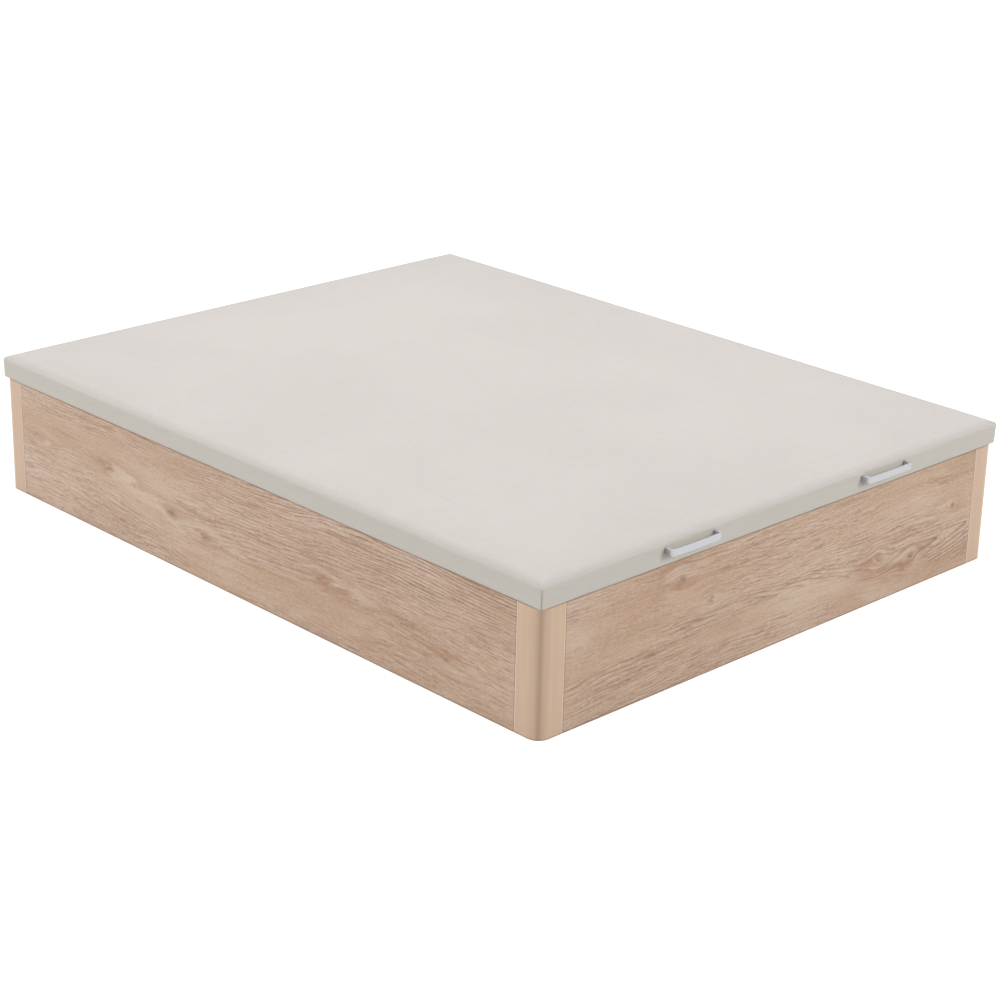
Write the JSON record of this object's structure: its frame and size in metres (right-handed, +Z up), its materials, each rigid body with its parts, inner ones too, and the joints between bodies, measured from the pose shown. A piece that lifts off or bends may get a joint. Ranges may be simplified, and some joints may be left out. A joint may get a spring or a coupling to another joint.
{
  "type": "lift-up storage bed base",
  "caption": "Storage bed base: an open box of four boards and rounded corner posts, and a padded fabric lid that lifts from the foot end on spring-assisted linkages.",
  "frame": {"origin": "middle of the whole outline, handles included, on the floor", "axes": "+Z up, +Y along the bed towards the head end, +X across the bed; the lid opens from the foot end at -Y"},
  "size_m": [1.5, 1.9223, 0.35],
  "materials": {
    "oak_decor": "light oak decor board, satin",
    "tan_post": "plain tan, satin",
    "lid_fabric": "pale greige weave, matte",
    "foam": "open foam",
    "fibreboard": "raw fibreboard",
    "pine": "planed pine",
    "frame_steel": "grey powder coat",
    "zinc_steel": "zinc plated",
    "pin_steel": "bright steel",
    "satin_chrome": "satin chrome",
    "black_paint": "black, semi-gloss",
    "rod_chrome": "polished hard chrome"
  },
  "bodies": {
    "base": {"side_panel_left": "oak_decor", "side_panel_right": "oak_decor", "foot_panel": "oak_decor", "head_panel": "oak_decor", "post_foot_left": "tan_post", "post_foot_right": "tan_post", "post_head_left": "tan_post", "post_head_right": "tan_post", "corner_bracket_foot_left": "zinc_steel", "corner_bracket_foot_right": "zinc_steel", "corner_bracket_head_left": "zinc_steel", "corner_bracket_head_right": "zinc_steel", "ledger_left": "pine", "ledger_right": "pine", "ledger_foot": "pine", "ledger_head": "pine", "centre_beam": "pine", "floor_board_left": "fibreboard", "floor_board_right": "fibreboard", "base_plate_left": "zinc_steel", "base_plate_right": "zinc_steel", "long_arm_foot_pin_left": "pin_steel", "long_arm_foot_pin_right": "pin_steel", "short_arm_foot_pin_left": "pin_steel", "short_arm_foot_pin_right": "pin_steel", "spring_foot_stud_left": "pin_steel", "spring_foot_stud_right": "pin_steel"},
    "lid": {"side_rail_left": "frame_steel", "side_rail_right": "frame_steel", "foot_rail": "frame_steel", "head_rail": "frame_steel", "cross_bar_1": "frame_steel", "cross_bar_2": "frame_steel", "cross_bar_3": "frame_steel", "cross_bar_4": "frame_steel", "lid_board": "fibreboard", "lid_padding": "foam", "lid_cover": "lid_fabric", "handle_left": "satin_chrome", "handle_right": "satin_chrome", "lid_plate_left": "zinc_steel", "lid_plate_right": "zinc_steel", "long_arm_head_pin_left": "pin_steel", "long_arm_head_pin_right": "pin_steel", "short_arm_head_rivet_left": "pin_steel", "short_arm_head_rivet_right": "pin_steel"},
    "long_arm_left": {"long_arm_left": "zinc_steel", "spring_head_stud_left": "pin_steel"},
    "long_arm_right": {"long_arm_right": "zinc_steel", "spring_head_stud_right": "pin_steel"},
    "short_arm_left": {"short_arm_left": "zinc_steel"},
    "short_arm_right": {"short_arm_right": "zinc_steel"},
    "gas_rod_left": {"gas_rod_left": "rod_chrome"},
    "gas_rod_right": {"gas_rod_right": "rod_chrome"},
    "gas_cylinder_left": {"gas_cylinder_left": "black_paint"},
    "gas_cylinder_right": {"gas_cylinder_right": "black_paint"}
  },
  "joints": [
    {"name": "long_arm_left_pivot", "type": "hinge", "parent": "base", "child": "long_arm_left", "pos_m": [-0.706, 0.376, 0.142], "axis": [1, 0, 0], "range_deg": [0, 31]},
    {"name": "lid_tilt", "type": "hinge", "parent": "long_arm_left", "child": "lid", "pos_m": [-0.706, 0.783, 0.236], "axis": [-1, 0, 0], "range_deg": [0, 70.24]},
    {"name": "long_arm_right_pivot", "type": "hinge", "parent": "base", "child": "long_arm_right", "pos_m": [0.706, 0.376, 0.142], "axis": [1, 0, 0], "range_deg": [0, 31]},
    {"name": "short_arm_left_pivot", "type": "hinge", "parent": "base", "child": "short_arm_left", "pos_m": [-0.715, 0.691, 0.223], "axis": [1, 0, 0], "range_deg": [0, 52.19]},
    {"name": "short_arm_right_pivot", "type": "hinge", "parent": "base", "child": "short_arm_right", "pos_m": [0.715, 0.691, 0.223], "axis": [1, 0, 0], "range_deg": [0, 52.19]},
    {"name": "gas_rod_left_pivot", "type": "hinge", "parent": "base", "child": "gas_rod_left", "pos_m": [-0.693, 0.731, 0.07], "axis": [-1, 0, 0], "range_deg": [0, 9.09]},
    {"name": "gas_rod_right_pivot", "type": "hinge", "parent": "base", "child": "gas_rod_right", "pos_m": [0.693, 0.731, 0.07], "axis": [-1, 0, 0], "range_deg": [0, 9.09]},
    {"name": "gas_cylinder_left_slide", "type": "slide", "parent": "gas_rod_left", "child": "gas_cylinder_left", "axis": [0, -0.8475, 0.5308], "range_m": [0, 0.0876]},
    {"name": "gas_cylinder_right_slide", "type": "slide", "parent": "gas_rod_right", "child": "gas_cylinder_right", "axis": [0, -0.8475, 0.5308], "range_m": [0, 0.0876]}
  ],
  "couplings": [
    {"joint": "lid_tilt", "follows": "long_arm_left_pivot", "ratio": 2.2657},
    {"joint": "long_arm_right_pivot", "follows": "long_arm_left_pivot", "ratio": 1},
    {"joint": "short_arm_left_pivot", "follows": "long_arm_left_pivot", "ratio": 1.6833},
    {"joint": "short_arm_right_pivot", "follows": "long_arm_left_pivot", "ratio": 1.6833},
    {"joint": "gas_rod_left_pivot", "follows": "long_arm_left_pivot", "ratio": 0.29299},
    {"joint": "gas_rod_right_pivot", "follows": "long_arm_left_pivot", "ratio": 0.29299},
    {"joint": "gas_cylinder_left_slide", "follows": "long_arm_left_pivot", "m_per_rad": 0.1618},
    {"joint": "gas_cylinder_right_slide", "follows": "long_arm_left_pivot", "m_per_rad": 0.1618}
  ]
}
